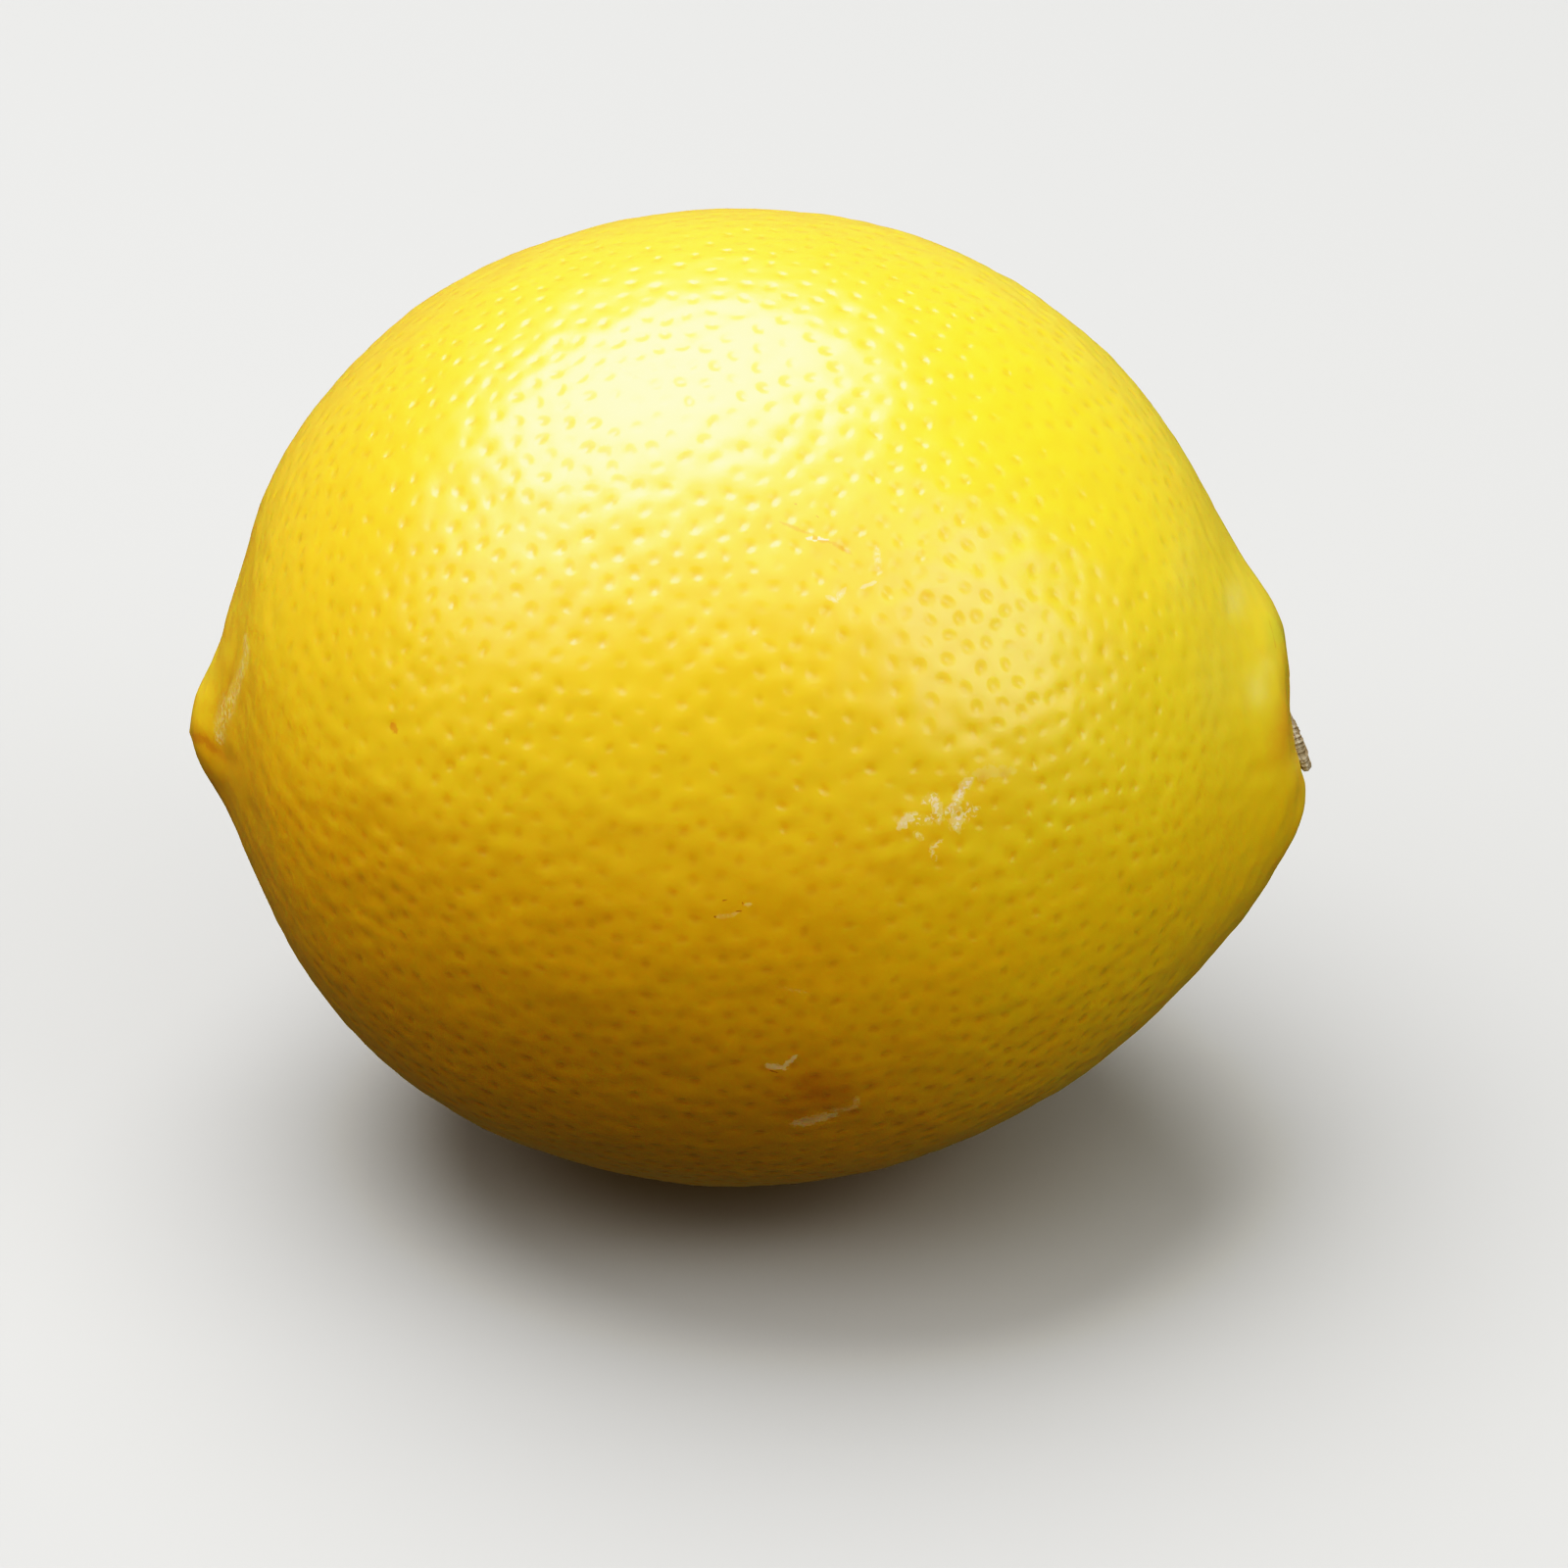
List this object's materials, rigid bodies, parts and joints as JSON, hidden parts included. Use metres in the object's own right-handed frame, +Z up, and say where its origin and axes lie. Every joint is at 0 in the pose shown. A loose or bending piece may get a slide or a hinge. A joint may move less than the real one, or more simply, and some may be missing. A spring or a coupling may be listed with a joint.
{
  "type": "lemon",
  "caption": "Whole lemon lying on its side: round body, pointed nipple at one end, collar with a dried stem button at the other, pitted peel.",
  "frame": {"origin": "on the resting surface, below the middle of the lemon's box", "axes": "+X runs along the lemon from the nipple to the stem end, the front of the picture faces -Y, +Z is up"},
  "size_m": [0.0688, 0.06, 0.0596],
  "materials": {
    "peel": "satin",
    "dry_stem": "matte"
  },
  "bodies": {
    "root": {"lemon_fruit": "peel", "stem_button": "dry_stem"}
  },
  "joints": []
}
